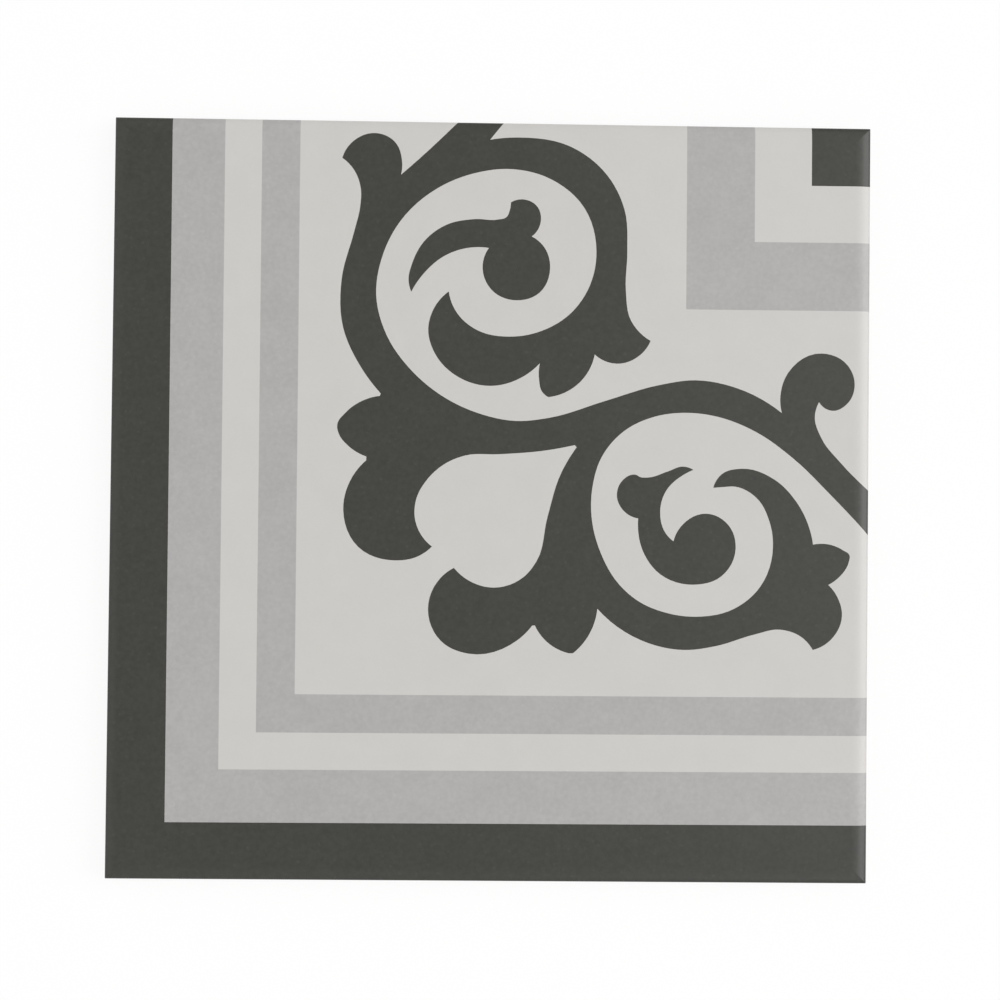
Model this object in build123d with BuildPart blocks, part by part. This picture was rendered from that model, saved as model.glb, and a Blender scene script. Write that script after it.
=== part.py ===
# Corner border tile: a square floor tile, dust-pressed in one piece from porcelain clay and glazed on its face.
# The glazed face is up, the keyed bedding face is down, and the origin is at the middle of the bedding face.
import os
from math import atan2, degrees

from build123d import *

# Driving dimensions, in millimetres and degrees
side = 200.0  # square face, edge to edge
thickness = 8.0  # bedding face to glazed face
arris_width = 4.0  # glazed edge, cushioned by the die: how far in it starts to fall
arris_drop = 1.2  # how far it has fallen at the side
nose_radius = 0.5  # the cushion's outer end, where it turns down into the side
corner_radius = 0.5  # upright corners
back_bevel = 1.0  # edge of the bedding face
pocket_rows = 7  # pockets along each side of the bedding face
pocket_depth = 0.8  # how far the adhesive keys into the back
pocket_draft = 30.0  # slope of a pocket's walls, so that the tile leaves the punch
pocket_corner = 2.5  # a pocket's corners, at its mouth
rib_width = 7.0  # ribs between the pockets, which carry the tile
rim_width = 12.0  # plain border from the tile's edge to the outer pockets

# Pockets share the bedding face out evenly inside the rim
pocket_pitch = (side - 2 * rim_width + rib_width) / pocket_rows
pocket_side = pocket_pitch - rib_width

# Cushion: a flat arc from the glazed face, which runs smoothly into the nose
cushion_run = arris_width - nose_radius
cushion_radius = (cushion_run**2 + arris_drop**2 - nose_radius**2) / (2 * (arris_drop - nose_radius))
cushion_turn = degrees(atan2(cushion_run, cushion_radius - arris_drop))

with BuildPart() as tile:
    # Pressed block: one section runs both ways, so its cushioned arris and its back bevel meet in mitres
    for across, mode in ((Plane.XZ, Mode.ADD), (Plane.YZ, Mode.INTERSECT)):
        with BuildSketch(across):
            with BuildLine():
                face = Line((0, thickness), (side / 2 - arris_width, thickness))
                cushion = JernArc(face @ 1, face % 1, cushion_radius, -cushion_turn)
                nose = JernArc(cushion @ 1, cushion % 1, nose_radius, cushion_turn - 90)
                Polyline(nose @ 1, (side / 2, back_bevel), (side / 2 - back_bevel, 0), (0, 0))
                mirror(about=Plane.YZ)
            make_face()
        extrude(amount=side / 2, both=True, mode=mode)

    # Upright corners, eased through the mitres too
    with BuildSketch():
        RectangleRounded(side, side, corner_radius)
    extrude(amount=thickness, mode=Mode.INTERSECT)

    # Keyed back: a grid of shallow drafted pockets, with ribs left between them
    with BuildSketch():
        with GridLocations(pocket_pitch, pocket_pitch, pocket_rows, pocket_rows):
            RectangleRounded(pocket_side, pocket_side, pocket_corner)
    extrude(amount=pocket_depth, taper=pocket_draft, mode=Mode.SUBTRACT)

tile.part.label = "corner_tile"

os.makedirs("parts", exist_ok=True)
export_step(tile.part, "parts/corner_tile.step")
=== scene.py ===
import math

import bmesh
import bpy
from mathutils import Matrix, Vector


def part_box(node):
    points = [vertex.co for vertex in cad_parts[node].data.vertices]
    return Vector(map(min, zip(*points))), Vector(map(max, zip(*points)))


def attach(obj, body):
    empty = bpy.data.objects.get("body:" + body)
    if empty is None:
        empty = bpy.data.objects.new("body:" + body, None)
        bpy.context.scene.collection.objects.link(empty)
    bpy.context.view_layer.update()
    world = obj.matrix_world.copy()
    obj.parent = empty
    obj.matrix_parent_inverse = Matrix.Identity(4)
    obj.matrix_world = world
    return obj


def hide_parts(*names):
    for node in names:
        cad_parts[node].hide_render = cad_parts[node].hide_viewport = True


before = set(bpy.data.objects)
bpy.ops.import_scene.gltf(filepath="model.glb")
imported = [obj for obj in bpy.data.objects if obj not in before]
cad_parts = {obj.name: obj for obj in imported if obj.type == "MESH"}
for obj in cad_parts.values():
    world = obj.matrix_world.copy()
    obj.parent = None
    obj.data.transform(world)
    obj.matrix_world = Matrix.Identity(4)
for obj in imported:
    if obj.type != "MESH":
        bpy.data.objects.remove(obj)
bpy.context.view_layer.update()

# Pressed tile
# A floor tile of porcelain clay, pressed dry in one piece between a plain and a keyed punch, then fired.
# The die cushions the edge of the face and bevels that of the back, and the keyed punch leaves pockets
# there for the adhesive to grip.
MM = 0.001
TINY = 0.01 * MM  # places nearer to each other than this are taken as one
SQUARE_ON = 0.99999  # a normal that has more than this along an axis points along it
UPRIGHT = 0.01  # a face whose normal rises by less than this is upright
ROUND = 0.5  # a bevel's profile that is an arc
tile_low, tile_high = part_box("corner_tile")
SIDE = tile_high.x - tile_low.x
THICKNESS = tile_high.z - tile_low.z
HALF = SIDE / 2
ARRIS_WIDTH = 4.0 * MM
ARRIS_DROP = 1.2 * MM
ARRIS_STEPS = 16
BACK_BEVEL = 1.0 * MM
CORNER_RADIUS = 0.5 * MM
CORNER_STEPS = 4
CORNER_TURN = math.radians(90) / CORNER_STEPS
POCKET_ROWS = 7
POCKET_DEPTH = 0.8 * MM
POCKET_DRAFT = math.radians(30)
POCKET_CORNER = 2.5 * MM
POCKET_CORNER_STEPS = 5
RIB_WIDTH = 7.0 * MM
RIM_WIDTH = 12.0 * MM


def pick(kind, test):
    """In edit mode, selects only the shown faces or edges that pass the test."""
    bpy.ops.mesh.select_mode(type=kind)
    bpy.ops.mesh.select_all(action="DESELECT")
    shape = bmesh.from_edit_mesh(bpy.context.object.data)
    for part in shape.faces if kind == "FACE" else shape.edges:
        if not part.hide and test(part):
            part.select_set(True)
    bmesh.update_edit_mesh(bpy.context.object.data)


def at_height(edge, height):
    return all(abs(vert.co.z - height) < TINY for vert in edge.verts)


bpy.ops.object.select_all(action="DESELECT")
bpy.ops.mesh.primitive_cube_add(size=1, location=(0, 0, THICKNESS / 2), scale=(SIDE, SIDE, THICKNESS))
tile = bpy.context.object
tile.name = tile.data.name = "glazed_corner_tile"
bpy.ops.object.transform_apply(location=True, rotation=False, scale=True)
bpy.ops.object.mode_set(mode="EDIT")

# Cushioned arris round the face, which is a roll pressed flatter, and bevel round the back
pick("EDGE", lambda edge: at_height(edge, THICKNESS))
bpy.ops.mesh.bevel(offset=ARRIS_WIDTH, segments=ARRIS_STEPS, profile=ROUND, affect="EDGES")
pick("FACE", lambda face: UPRIGHT < face.normal.z < SQUARE_ON)
bpy.ops.transform.resize(value=(1, 1, ARRIS_DROP / ARRIS_WIDTH), center_override=(0, 0, THICKNESS))
pick("EDGE", lambda edge: at_height(edge, 0))
bpy.ops.mesh.bevel(offset=BACK_BEVEL, segments=1, affect="EDGES")

# Upright corners, eased by narrow upright cuts through the mitres too
for toward_x in (-1, 1):
    for toward_y in (-1, 1):
        for step in range(CORNER_STEPS):
            angle = (step + 0.5) * CORNER_TURN
            way = Vector((toward_x * math.cos(angle), toward_y * math.sin(angle), 0))
            middle = Vector((toward_x, toward_y, 0)) * (HALF - CORNER_RADIUS)
            bpy.ops.mesh.select_all(action="SELECT")
            cut = middle + way * CORNER_RADIUS * math.cos(CORNER_TURN / 2)
            bpy.ops.mesh.bisect(plane_co=cut, plane_no=way, use_fill=True, clear_outer=True)

# Keyed back: the part inside the rim is divided into squares, each set in from its ribs and pressed up
pick("FACE", lambda face: face.normal.z < -SQUARE_ON)
bpy.ops.mesh.inset(thickness=RIM_WIDTH - RIB_WIDTH / 2 - BACK_BEVEL)
bpy.ops.mesh.subdivide(number_cuts=POCKET_ROWS - 1)
bpy.ops.mesh.inset(thickness=RIB_WIDTH / 2, use_individual=True)
bpy.ops.mesh.inset(thickness=POCKET_DEPTH * math.tan(POCKET_DRAFT), depth=-POCKET_DEPTH,
                   use_individual=True)


def is_pocket_corner(edge):
    a, b = (vert.co for vert in edge.verts)
    slanted = abs(abs(a.z - b.z) - POCKET_DEPTH) < TINY and max(a.z, b.z) < BACK_BEVEL
    return slanted and abs(abs(a.x - b.x) - abs(a.y - b.y)) < TINY


pick("EDGE", is_pocket_corner)
bpy.ops.mesh.bevel(offset=POCKET_CORNER, segments=POCKET_CORNER_STEPS, profile=ROUND, affect="EDGES")
bpy.ops.object.mode_set(mode="OBJECT")

# Printed scroll
# A traditional scroll of two rings with leaves and buds, printed in charcoal on the pale field of the face.
# Its stems run off over the top and right edges, to meet the scrolls of the next border tiles.
READ = 0.9982 * MM  # outlines are in millimetres at the edge's height, and the face is nearer the eye
CUSP = True  # a sharp point of an outline; the others are passed smoothly
SCROLL_STEPS = 6  # straight lengths from one point to the next
GLAZE_LINE = THICKNESS - ARRIS_DROP  # the glaze ends where the cushioned edge runs into the side
STEM_AND_RINGS = [
    # Wedge between the stem that comes in at the top edge and the upper ring
    (4.6, 103.0, CUSP), (-1.2, 95.55, CUSP),
    # Upper ring, outside, down to the leaf
    (6.5, 96.25), (20.0, 94.1), (29.9, 86.6), (34.6, 77.5), (35.45, 66.5), (35.15, 56.0), (36.6, 48.0),
    (41.85, 42.7, CUSP),
    # Leaf's lobes
    (39.3, 39.1), (32.8, 36.55), (27.05, 38.9, CUSP), (25.1, 33.9), (21.2, 29.85), (14.9, 27.45, CUSP),
    (13.4, 28.6), (12.35, 32.4), (12.55, 36.4, CUSP),
    # Curl inside the upper ring
    (7.6, 32.5), (-0.3, 30.25), (-9.0, 32.5), (-15.2, 38.6), (-17.05, 45.2), (-15.6, 50.6),
    (-11.75, 55.1, CUSP), (-9.4, 49.3), (-4.0, 44.9), (4.5, 43.35), (13.0, 45.0), (20.6, 49.75),
    (25.6, 57.2), (27.25, 66.4), (24.0, 77.7), (15.0, 85.3), (5.0, 87.8), (-5.0, 86.65), (-15.0, 82.45),
    (-24.8, 73.5), (-29.6, 63.5), (-30.9, 54.0), (-28.0, 43.3), (-21.2, 33.9), (-12.0, 26.7),
    (-3.5, 22.95), (6.4, 21.05), (15.0, 21.95), (30.0, 26.65), (44.0, 30.95), (53.8, 32.4), (65.0, 30.4),
    (76.85, 24.0, CUSP),
    # Bud over the stem that leaves at the right edge
    (76.45, 28.6), (78.5, 34.75), (87.4, 39.95), (94.4, 36.75), (96.2, 31.9), (94.1, 26.5), (90.4, 24.75),
    (86.75, 27.0, CUSP), (85.65, 23.4), (87.5, 17.3), (92.5, 11.05), (103.0, 1.4, CUSP),
    # Stem's lower side and the lower ring, inside
    (103.0, -11.3, CUSP), (90.0, 2.4), (80.0, 11.95), (70.0, 18.9), (60.0, 22.75), (51.8, 23.75),
    (43.0, 22.6), (35.0, 18.7), (29.1, 11.7), (26.8, 4.0), (26.6, -4.0), (29.0, -13.3), (34.2, -22.0),
    (39.6, -26.45), (46.4, -29.15), (54.5, -30.15), (64.5, -28.0), (71.5, -22.0), (74.75, -11.5),
    (73.8, -4.9), (70.2, 1.5), (64.5, 4.35), (61.4, 4.2), (58.8, 3.95, CUSP), (60.9, 7.5), (66.3, 9.1),
    (74.9, 6.4), (80.8, 0.6), (83.7, -4.6), (85.4, -10.8, CUSP),
    # Leaf at the end of the lower ring
    (88.4, -10.55), (93.4, -12.2), (95.1, -13.5), (94.9, -15.4), (92.2, -19.5), (89.5, -21.4, CUSP),
    (92.0, -24.7), (93.2, -29.8), (91.0, -35.1), (85.5, -38.65, CUSP), (82.8, -35.5), (76.8, -33.35),
    # Lower ring, outside
    (70.0, -34.7), (60.0, -37.8), (51.4, -38.95), (40.0, -36.5), (28.35, -28.3, CUSP), (27.2, -33.1),
    (24.2, -38.0), (22.0, -40.1, CUSP), (20.9, -40.1, CUSP), (15.0, -37.05), (11.9, -32.85, CUSP),
    (11.2, -32.9, CUSP), (7.3, -36.8), (-5.5, -40.45), (-12.8, -37.2), (-16.3, -28.9), (-13.0, -20.5),
    (-9.6, -17.9, CUSP),
    # Drop between the two leaves
    (-5.3, -21.4), (1.0, -23.0), (8.6, -20.3), (12.2, -15.9), (14.9, -4.5), (18.6, 7.7),
    (22.5, 14.3, CUSP), (22.0, 14.85, CUSP), (15.0, 13.45), (2.0, 12.2), (-7.0, 11.75), (-12.6, 9.3),
    (-17.0, 5.2), (-19.7, 0.2), (-19.9, -5.6), (-15.45, -12.35, CUSP),
    # Leaf on the left
    (-19.3, -15.05), (-25.2, -16.1), (-34.8, -12.7), (-38.9, -3.0), (-37.15, 4.8), (-33.0, 10.2, CUSP),
    (-33.0, 11.2, CUSP), (-37.7, 13.9), (-40.3, 17.1), (-40.75, 19.5), (-38.6, 22.7), (-35.0, 25.5),
    (-29.6, 27.25, CUSP), (-29.4, 27.9, CUSP),
    # Upper ring, outside on the left, and its bud
    (-34.7, 34.8), (-39.5, 45.2), (-40.05, 58.0), (-36.9, 70.6), (-35.4, 77.2), (-35.3, 82.2),
    (-37.0, 86.8), (-40.25, 90.15, CUSP), (-37.2, 94.8), (-31.5, 96.85), (-26.6, 94.8), (-24.45, 89.3),
    (-24.7, 85.9, CUSP), (-19.9, 90.2), (-7.0, 103.0, CUSP),
]

UPPER_HOOK = [
    # Tail, neck and knob
    (-21.65, 54.9, CUSP), (-22.4, 58.0), (-21.5, 62.4), (-18.4, 68.3), (-12.6, 72.75), (-5.0, 74.4),
    (1.0, 74.35), (3.4, 75.1), (4.15, 76.8), (4.45, 78.95, CUSP), (7.9, 79.8), (11.5, 77.9), (12.4, 73.9),
    (10.05, 70.0, CUSP),
    # Disc
    (13.4, 67.2), (15.0, 61.5), (12.2, 55.05), (6.2, 53.0), (0.2, 55.1), (-2.85, 61.2),
    (-1.25, 66.8, CUSP), (-4.8, 66.95), (-12.2, 64.95), (-18.4, 59.8),
]

LOWER_HOOK = [
    # Knob
    (38.95, -4.35, CUSP), (35.3, -2.6), (33.25, 2.1), (34.8, 5.75), (37.3, 7.2), (38.2, 7.2), (39.4, 6.6),
    (41.5, 6.5),
    # Neck and tip
    (46.8, 8.2), (50.8, 9.5), (53.5, 8.65, CUSP), (50.6, 7.15), (46.2, 2.9), (44.75, -2.8), (46.2, -8.1),
    (48.35, -10.3, CUSP),
    # Disc
    (50.8, -5.8), (57.0, -2.9), (63.0, -6.0), (64.85, -12.0), (61.0, -19.5), (53.7, -21.7), (45.0, -19.1),
    (40.2, -12.8), (38.9, -6.0),
]


def draw_outline(curve, points):
    """Adds a closed outline, which turns in arcs at its smooth points."""
    places = [Vector(point[:2]) * READ for point in points]
    cusps = [len(point) > 2 for point in points]
    count = len(places)
    turns = []
    for i, place in enumerate(places):
        back = place - places[i - 1]
        ahead = places[(i + 1) % count] - place
        turns.append((back / back.length_squared + ahead / ahead.length_squared).normalized())
    spline = curve.splines.new("BEZIER")
    spline.bezier_points.add(count - 1)
    spline.use_cyclic_u = True
    spline.resolution_u = SCROLL_STEPS
    for point, place in zip(spline.bezier_points, places):
        point.co = place.to_3d()
        point.handle_left_type = point.handle_right_type = "FREE"
    for i in range(count):
        j = (i + 1) % count
        chord = places[j] - places[i]
        way = chord.normalized()
        start, end = turns[i], turns[j]
        if cusps[i] and cusps[j]:
            start = end = way
        elif cusps[i]:
            start = 2 * end.dot(way) * way - end
        elif cusps[j]:
            end = 2 * start.dot(way) * way - start
        reach = chord.length * 2 / 3
        spline.bezier_points[i].handle_right = (places[i] + start * reach / (1 + start.dot(way))).to_3d()
        spline.bezier_points[j].handle_left = (places[j] - end * reach / (1 + end.dot(way))).to_3d()


def scroll_mesh(name, fill, wall):
    """Makes the scroll's outlines a mesh: a flat sheet, or an upright wall along them."""
    curve = bpy.data.curves.new(name, "CURVE")
    curve.dimensions = "2D"
    curve.fill_mode = fill
    curve.extrude = wall
    for points in (STEM_AND_RINGS, UPPER_HOOK, LOWER_HOOK):
        draw_outline(curve, points)
    scroll = bpy.data.objects.new(name, curve)
    bpy.context.collection.objects.link(scroll)
    bpy.ops.object.select_all(action="DESELECT")
    scroll.select_set(True)
    bpy.context.view_layer.objects.active = scroll
    bpy.ops.object.convert(target="MESH")
    return scroll


def is_upright(face):
    return abs(face.normal.z) < UPRIGHT


def is_glazed(face):
    return face.calc_center_median().z > GLAZE_LINE


# Flat stencil, which later tells what lies inside the outlines, and a wall along them to cut the glaze.
# The two sides that the stems run over are opened first and filled last, to take up the cut's corners
stencil = scroll_mesh("scroll_stencil", "BOTH", 0)
cutter = scroll_mesh("scroll_cutter", "NONE", THICKNESS / 2)
cutter.location.z = THICKNESS
bpy.ops.object.transform_apply(location=True, rotation=False, scale=False)
tile.select_set(True)
bpy.context.view_layer.objects.active = tile
bpy.ops.object.join()
bpy.ops.object.mode_set(mode="EDIT")
pick("FACE", lambda face: max(face.normal.x, face.normal.y) > SQUARE_ON and not is_glazed(face))
bpy.ops.mesh.delete(type="ONLY_FACE")
pick("FACE", is_glazed)
bpy.ops.mesh.hide(unselected=True)
pick("FACE", is_upright)
bpy.ops.mesh.intersect(mode="SELECT_UNSELECT", separate_mode="NONE", solver="EXACT")
pick("FACE", is_upright)
bpy.ops.mesh.delete(type="FACE")
bpy.ops.mesh.reveal()
bpy.ops.mesh.select_all(action="SELECT")
bpy.ops.mesh.remove_doubles(threshold=TINY / 10)
bpy.ops.mesh.fill_holes(sides=0)
bpy.ops.object.mode_set(mode="OBJECT")

# Printed stripes
# Stripes in charcoal, grey and off-white, printed along the two outer edges, turn the corner of the border.
# The opposite corner has the start of the room's pattern, a grey and a white angle round a charcoal square.
# Like the scroll, they were printed a little askew, by about a tenth of a degree and of a millimetre.
CHARCOAL, GREY, OFF_WHITE, BISCUIT = range(4)
STRIPES = [  # where each stripe ends, measured across the stripes from the middle of the tile
    (-84.79 * MM, CHARCOAL),
    (-70.95 * MM, GREY),
    (-61.23 * MM, OFF_WHITE),
    (-51.19 * MM, GREY),
    (51.12 * MM, OFF_WHITE),
    (69.22 * MM, GREY),
    (84.33 * MM, OFF_WHITE),
    (SIDE, CHARCOAL),
]
PRINT_TURN = math.radians(0.12)
PRINT_SHIFT = Vector((0.115, -0.115, 0)) * MM
SMOOTH_BEND = math.radians(30)  # facets that meet at less than this are shaded as one curve
askew = Matrix.Translation(PRINT_SHIFT) @ Matrix.Rotation(PRINT_TURN, 4, "Z")


def is_glazed_mitre(edge):
    on_diagonal = all(abs(abs(vert.co.x) - abs(vert.co.y)) < TINY for vert in edge.verts)
    return on_diagonal and all(vert.co.z > GLAZE_LINE - TINY for vert in edge.verts)


# The glaze is cut into facets along the stripes, and the mitres of its cushioned edge stay sharp
bpy.ops.object.mode_set(mode="EDIT")
for end, _ in STRIPES[:-1]:
    for way in ((1, 0, 0), (0, 1, 0)):
        pick("FACE", is_glazed)
        bpy.ops.mesh.bisect(plane_co=askew @ (Vector(way) * end), plane_no=askew.to_3x3() @ Vector(way))
pick("FACE", is_glazed)
bpy.ops.mesh.quads_convert_to_tris(quad_method="BEAUTY", ngon_method="BEAUTY")
bpy.ops.mesh.select_all(action="SELECT")
bpy.ops.mesh.normals_make_consistent(inside=False)
pick("EDGE", is_glazed_mitre)
bpy.ops.mesh.mark_sharp()
bpy.ops.object.mode_set(mode="OBJECT")

# Colour of each facet, by the stripe or the part of the scroll that its middle lies in
for facet in tile.data.polygons:
    place = facet.center
    facet.material_index = BISCUIT
    if place.z > GLAZE_LINE:
        across = askew.inverted() @ place
        facet.material_index = next(colour for end, colour in STRIPES if min(across.x, across.y) < end)
        if stencil.ray_cast(Vector((place.x, place.y, THICKNESS)), Vector((0, 0, -1)))[0]:
            facet.material_index = CHARCOAL
bpy.data.objects.remove(stencil)
bpy.ops.object.shade_smooth_by_angle(angle=SMOOTH_BEND)
for facet in tile.data.polygons:
    if facet.normal.z > SQUARE_ON:
        facet.use_smooth = False

# Glaze and biscuit
# A satin glaze, jet-printed in three colours and fired, lies over the face and its cushioned edge.
# The sides and the back are bare porcelain, dull and slightly sandy, with white kiln wash on the ribs.
CLOUD_WIDTH = 9 * MM
FLECK_WIDTH = 1.2 * MM
SPECK_SPACING = 2.4 * MM
LOW, HIGH = 0.3, 0.7  # nearly all of a noise's values lie between these


def linear(colour):
    """Turns an sRGB hex value into linear red, green, blue and alpha."""
    parts = [int(colour[i:i + 2], 16) / 255 for i in (0, 2, 4)]
    return [part / 12.92 if part <= 0.04045 else ((part + 0.055) / 1.055) ** 2.4 for part in parts] + [1.0]


def add_node(tree, kind, settings, links=None):
    """Adds a node, gives it its settings and links its inputs to the outputs named for them."""
    node = tree.nodes.new(kind)
    for name, value in settings.items():
        if isinstance(name, int) or name in node.inputs:
            node.inputs[name].default_value = value
        else:
            setattr(node, name, value)
    for name, output in (links or {}).items():
        tree.links.new(output, node.inputs[name])
    return node


def printed_glaze(name, pale, deep, speck, fleck_depth, speck_depth):
    """Satin glaze in one printed colour: clouds of a pale and a deep shade, fine flecks and a few specks.

    The printed dots are about 0.1 mm wide and too fine to show, so flecks and specks are drawn coarser.
    """
    material = bpy.data.materials.new(name)
    material.use_nodes = True
    tree = material.node_tree
    tree.nodes.clear()
    spot = add_node(tree, "ShaderNodeTexCoord", {}).outputs["Object"]
    cloud = add_node(tree, "ShaderNodeTexNoise", {"Scale": 1 / CLOUD_WIDTH, "Detail": 3.0},
                     {"Vector": spot})
    grain = add_node(tree, "ShaderNodeTexNoise", {"Scale": 1 / FLECK_WIDTH, "Detail": 3.0},
                     {"Vector": spot})
    dots = add_node(tree, "ShaderNodeTexVoronoi", {"Scale": 1 / SPECK_SPACING}, {"Vector": spot})
    clouds = add_node(tree, "ShaderNodeMapRange", {"From Min": LOW, "From Max": HIGH},
                      {"Value": cloud.outputs["Fac"]})
    shade = add_node(tree, "ShaderNodeMix", {"data_type": "RGBA", 6: linear(deep), 7: linear(pale)},
                     {0: clouds.outputs["Result"]})
    flecks = add_node(tree, "ShaderNodeMapRange",
                      {"From Min": LOW, "From Max": HIGH,
                       "To Min": 1 - fleck_depth, "To Max": 1 + fleck_depth},
                      {"Value": grain.outputs["Fac"]})
    flecked = add_node(tree, "ShaderNodeVectorMath", {"operation": "SCALE"},
                       {0: shade.outputs[2], "Scale": flecks.outputs["Result"]})
    specks = add_node(tree, "ShaderNodeMapRange",
                      {"From Min": 0.10, "From Max": 0.22, "To Min": speck_depth, "To Max": 0.0},
                      {"Value": dots.outputs["Distance"]})
    printed = add_node(tree, "ShaderNodeMix", {"data_type": "RGBA", 7: linear(speck)},
                       {0: specks.outputs["Result"], 6: flecked.outputs["Vector"]})
    satin = add_node(tree, "ShaderNodeMapRange", {"To Min": 0.27, "To Max": 0.35},
                     {"Value": grain.outputs["Fac"]})
    ripple = add_node(tree, "ShaderNodeBump", {"Strength": 1.0, "Distance": 0.02 * MM},
                      {"Height": cloud.outputs["Fac"]})
    tooth = add_node(tree, "ShaderNodeBump", {"Strength": 1.0, "Distance": 0.004 * MM},
                     {"Height": grain.outputs["Fac"], "Normal": ripple.outputs["Normal"]})
    shader = add_node(tree, "ShaderNodeBsdfPrincipled", {"IOR": 1.5},
                      {"Base Color": printed.outputs[2], "Roughness": satin.outputs["Result"],
                       "Normal": tooth.outputs["Normal"]})
    add_node(tree, "ShaderNodeOutputMaterial", {}, {"Surface": shader.outputs["BSDF"]})
    return material


# The charcoal ink is laid on thickest: it looks soft black with a soft gloss, and paler dots show through.
# The grey one is thinner and looks faintly cloudy. The off-white is the bare glaze, warm and almost even.
for name, pale, deep, speck, fleck_depth, speck_depth in (
        ("charcoal_satin_glaze", "363631", "34342f", "595853", 0.12, 0.12),
        ("grey_satin_glaze", "acaaa9", "a8a6a5", "c8c6c5", 0.044, 0.09),
        ("off_white_satin_glaze", "c8c6c2", "c6c4c0", "d2d0cd", 0.006, 0.03)):
    tile.data.materials.append(printed_glaze(name, pale, deep, speck, fleck_depth, speck_depth))

# Fired porcelain body: pale, warm and dull, with iron specks, and streaks where the die wiped the sides.
# Its sandy grain is about 0.2 mm wide and too fine to show, so it is drawn coarser.
# Glaze overspray ends in a wavy line below the arris, and the ribs it was fired on are white with wash.
SAND_WIDTH = 0.8 * MM
PATCH_WIDTH = 14 * MM
IRON_SPACING = 3.2 * MM
STREAK_WIDTH = 0.9 * MM
STREAK_SQUEEZE = 0.04  # share of the height that the noise sees, so that it runs in upright streaks
WASH_FULL, WASH_END = 0.05 * MM, 0.25 * MM  # heights above the floor
SPRAY_WAVE = 5 * MM
SPRAY_DRIP = 1.6 * MM
SPRAY_END, SPRAY_FULL = 5.7 * MM, 6.1 * MM  # the line where it is highest; it hangs by up to a drip
biscuit = bpy.data.materials.new("porcelain_biscuit")
biscuit.use_nodes = True
tree = biscuit.node_tree
tree.nodes.clear()
spot = add_node(tree, "ShaderNodeTexCoord", {}).outputs["Object"]
grain = add_node(tree, "ShaderNodeTexNoise", {"Scale": 1 / SAND_WIDTH, "Detail": 4.0}, {"Vector": spot})
patch = add_node(tree, "ShaderNodeTexNoise", {"Scale": 1 / PATCH_WIDTH, "Detail": 3.0}, {"Vector": spot})
iron = add_node(tree, "ShaderNodeTexVoronoi", {"Scale": 1 / IRON_SPACING}, {"Vector": spot})
wiped = add_node(tree, "ShaderNodeMapping", {"Scale": (1.0, 1.0, STREAK_SQUEEZE)}, {"Vector": spot})
streak = add_node(tree, "ShaderNodeTexNoise", {"Scale": 1 / STREAK_WIDTH, "Detail": 2.0},
                  {"Vector": wiped.outputs["Vector"]})
height = add_node(tree, "ShaderNodeSeparateXYZ", {}, {"Vector": spot}).outputs["Z"]
clay = add_node(tree, "ShaderNodeMix", {"data_type": "RGBA", 6: linear("bdb3a4"), 7: linear("d2cabd")},
                {0: patch.outputs["Fac"]})
sandy = add_node(tree, "ShaderNodeMapRange",
                 {"From Min": LOW, "From Max": HIGH, "To Min": 0.9, "To Max": 1.1},
                 {"Value": grain.outputs["Fac"]})
sand = add_node(tree, "ShaderNodeVectorMath", {"operation": "SCALE"},
                {0: clay.outputs[2], "Scale": sandy.outputs["Result"]})
wipe = add_node(tree, "ShaderNodeMapRange",
                {"From Min": LOW, "From Max": HIGH, "To Min": 0.95, "To Max": 1.05},
                {"Value": streak.outputs["Fac"]})
sides = add_node(tree, "ShaderNodeVectorMath", {"operation": "SCALE"},
                 {0: sand.outputs["Vector"], "Scale": wipe.outputs["Result"]})
specks = add_node(tree, "ShaderNodeMapRange",
                  {"From Min": 0.06, "From Max": 0.12, "To Min": 0.55, "To Max": 0.0},
                  {"Value": iron.outputs["Distance"]})
speckled = add_node(tree, "ShaderNodeMix", {"data_type": "RGBA", 7: linear("6f5d4a")},
                    {0: specks.outputs["Result"], 6: sides.outputs["Vector"]})
# Kiln wash, rubbed thin in patches, on what touches the floor
worn = add_node(tree, "ShaderNodeMapRange",
                {"From Min": 0.35, "From Max": 0.6, "To Min": 0.25, "To Max": 0.85},
                {"Value": patch.outputs["Fac"]})
touching = add_node(tree, "ShaderNodeMapRange",
                    {"From Min": WASH_FULL, "From Max": WASH_END, "To Min": 1.0, "To Max": 0.0},
                    {"Value": height})
wash = add_node(tree, "ShaderNodeMath", {"operation": "MULTIPLY"},
                {0: worn.outputs["Result"], 1: touching.outputs["Result"]})
washed = add_node(tree, "ShaderNodeMix", {"data_type": "RGBA", 7: linear("e4e1da")},
                  {0: wash.outputs["Value"], 6: speckled.outputs[2]})
# Overspray, which ends in a wavy line about a millimetre below the arris
wave = add_node(tree, "ShaderNodeTexNoise", {"Scale": 1 / SPRAY_WAVE, "Detail": 2.0}, {"Vector": spot})
drip = add_node(tree, "ShaderNodeMath", {"operation": "MULTIPLY_ADD", 1: SPRAY_DRIP},
                {0: wave.outputs["Fac"], 2: height})
spray = add_node(tree, "ShaderNodeMapRange", {"From Min": SPRAY_END, "From Max": SPRAY_FULL},
                 {"Value": drip.outputs["Value"]})
dressed = add_node(tree, "ShaderNodeMix", {"data_type": "RGBA", 7: linear("c9c6c1")},
                   {0: spray.outputs["Result"], 6: washed.outputs[2]})
dull = add_node(tree, "ShaderNodeMapRange", {"To Min": 0.88, "To Max": 0.5},
                {"Value": spray.outputs["Result"]})
tooth = add_node(tree, "ShaderNodeBump", {"Strength": 1.0, "Distance": 0.03 * MM},
                 {"Height": grain.outputs["Fac"]})
shader = add_node(tree, "ShaderNodeBsdfPrincipled", {"IOR": 1.5},
                  {"Base Color": dressed.outputs[2], "Roughness": dull.outputs["Result"],
                   "Normal": tooth.outputs["Normal"]})
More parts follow.
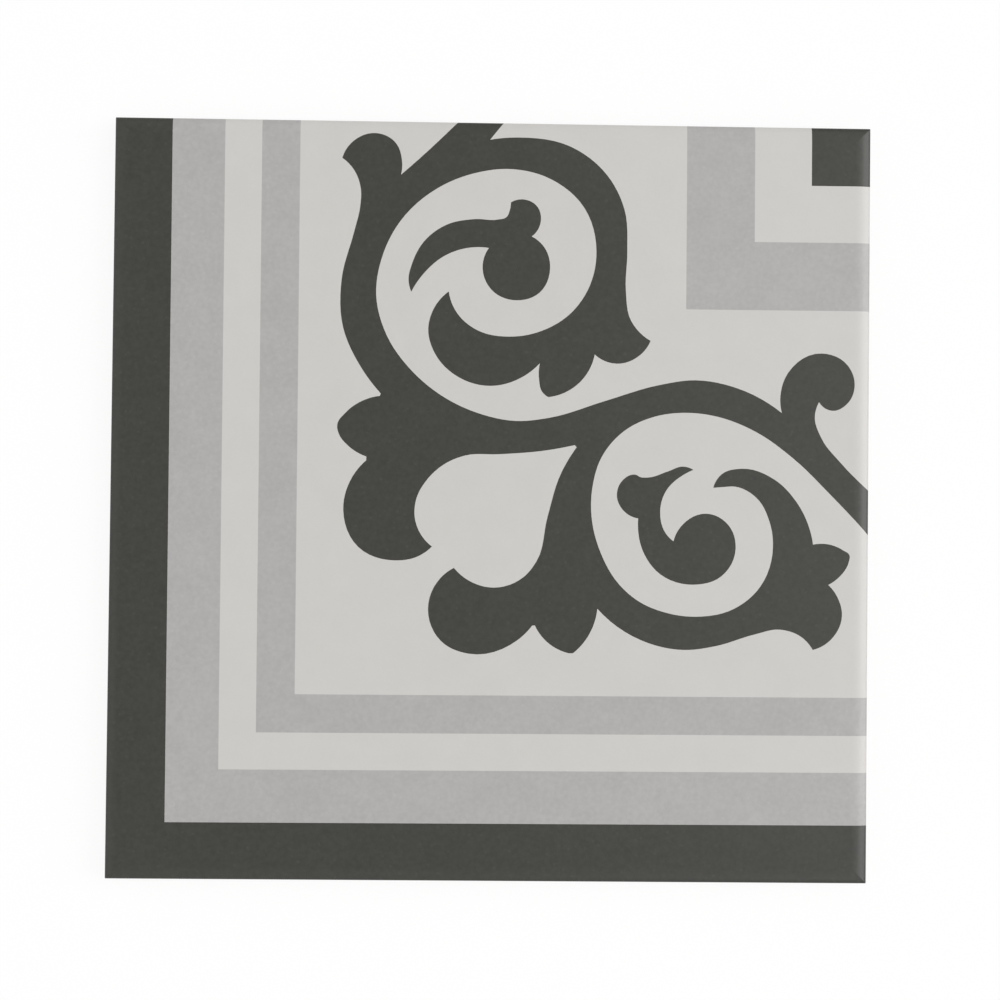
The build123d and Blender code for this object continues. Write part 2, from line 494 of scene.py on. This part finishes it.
add_node(tree, "ShaderNodeOutputMaterial", {}, {"Surface": shader.outputs["BSDF"]})
tile.data.materials.append(biscuit)

# Map for the baked colours: the face lies flat with its cushioned edge and its sides unfolded round it,
# and the back lies beside it, smaller
BACK_SHARE = 0.36
FLAT = HALF - ARRIS_WIDTH  # from the middle to where the cushioned edge starts
UNROLLED_ARRIS = ARRIS_WIDTH * math.radians(90)  # drawn wider than it is, so that its steep end has room
NET = 2 * (FLAT + UNROLLED_ARRIS + GLAZE_LINE + BACK_BEVEL)
GAP = 2 * MM
SHEET = NET + BACK_SHARE * SIDE + 3 * GAP
baked = tile.data.uv_layers.new(name="OFBake")


def unrolled(across):
    """Where a point lies across the flattened face, with the cushioned edge laid flat."""
    past = min(max(abs(across) - FLAT, 0), ARRIS_WIDTH)
    return math.copysign(min(abs(across), FLAT) + ARRIS_WIDTH * math.asin(past / ARRIS_WIDTH), across)


def is_on_back(facet):
    return facet.normal.z < -UPRIGHT and max(abs(facet.center.x), abs(facet.center.y)) < HALF - BACK_BEVEL


for facet in tile.data.polygons:
    for corner in facet.loop_indices:
        place = tile.data.vertices[tile.data.loops[corner].vertex_index].co
        if is_on_back(facet):
            flat = Vector((place.x + HALF, place.y + HALF)) * BACK_SHARE + Vector((NET + 2 * GAP, GAP))
        else:
            flat = Vector((unrolled(place.x), unrolled(place.y)))
            if facet.material_index == BISCUIT:
                way = 0 if abs(facet.normal.x) > abs(facet.normal.y) else 1
                flat[way] = math.copysign(FLAT + UNROLLED_ARRIS + GLAZE_LINE - place.z, place[way])
            flat += Vector((GAP + NET / 2, GAP + NET / 2))
        baked.data[corner].uv = flat / SHEET

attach(tile, "root")
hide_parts("corner_tile")

# Floor
# A plain white studio table, painted matt.
# It looks white where no shadow falls on it, and it keeps the tile's soft shadow.
TABLE_SIDE = 12.0
BELOW = 0.1 * MM  # keeps the table's top clear of the tile's ribs
WHITE_SHARE = 0.88  # the rest is lit paint, which shows the shadow
bpy.ops.object.select_all(action="DESELECT")
bpy.ops.mesh.primitive_plane_add(size=TABLE_SIDE, location=(0, 0, -BELOW))
floor = bpy.context.object
floor.name = "studio_table"
table = bpy.data.materials.new("white_table_top")
table.use_nodes = True
tree = table.node_tree
tree.nodes.clear()
rays = add_node(tree, "ShaderNodeLightPath", {})
seen = add_node(tree, "ShaderNodeMath", {"operation": "MAXIMUM"},
                {0: rays.outputs["Is Camera Ray"], 1: rays.outputs["Is Glossy Ray"]})
seen = add_node(tree, "ShaderNodeMath", {"operation": "MAXIMUM"},
                {0: seen.outputs["Value"], 1: rays.outputs["Is Transmission Ray"]})
share = add_node(tree, "ShaderNodeMath", {"operation": "MULTIPLY", 1: WHITE_SHARE},
                 {0: seen.outputs["Value"]})
paint = add_node(tree, "ShaderNodeBsdfDiffuse", {"Color": linear("f6f6f6")})
glow = add_node(tree, "ShaderNodeEmission", {"Color": linear("ffffff"), "Strength": 1.0})
top = add_node(tree, "ShaderNodeMixShader", {},
               {0: share.outputs["Value"], 1: paint.outputs["BSDF"], 2: glow.outputs["Emission"]})
add_node(tree, "ShaderNodeOutputMaterial", {}, {"Surface": top.outputs["Shader"]})
floor.data.materials.append(table)

# Studio light
# A white room with four soft boxes. The strong one on the right gives the cushioned edge its highlight,
# and the long one overhead gives the right half of the face its faint sheen.
# Two weak ones fill in from the other sides.
ROOM_GLOW = 0.56
world = bpy.data.worlds.new("white_room")
world.use_nodes = True
room = world.node_tree.nodes["Background"]
room.inputs["Color"].default_value = linear("ffffff")
room.inputs["Strength"].default_value = ROOM_GLOW
bpy.context.scene.world = world
for name, place, wide, tall, glow in (
        ("right_soft_box", (3.1, 0.2, 2.4), 2.0, 3.0, 3.1),
        ("overhead_soft_box", (1.3, -0.05, 2.6), 7.0, 1.8, 0.8),
        ("front_soft_box", (-0.35, -0.65, 0.55), 1.7, 1.2, 0.17),
        ("left_soft_box", (-0.75, 0.35, 0.55), 1.7, 1.2, 0.27)):
    lamp = bpy.data.lights.new(name, "AREA")
    lamp.shape = "RECTANGLE"
    lamp.size = wide
    lamp.size_y = tall
    lamp.energy = math.pi * wide * tall * glow
    box = bpy.data.objects.new(name, lamp)
    box.location = place
    box.rotation_euler = Vector(place).to_track_quat("Z", "Y").to_euler()
    box.visible_camera = False
    bpy.context.collection.objects.link(box)

# Camera
# It stands over the tile and looks straight down, turned and tilted a little as it was held.
lens = bpy.data.cameras.new("camera")
lens.lens = 85
lens.sensor_width = 36
lens.clip_start = 0.01
camera = bpy.data.objects.new("camera", lens)
camera.location = (-15.32 * MM, -16.27 * MM, 629.4 * MM)
camera.rotation_euler = (math.radians(1.493), math.radians(-1.646), math.radians(0.593))
bpy.context.collection.objects.link(camera)
bpy.context.scene.camera = camera
bpy.context.scene.view_settings.view_transform = "Standard"
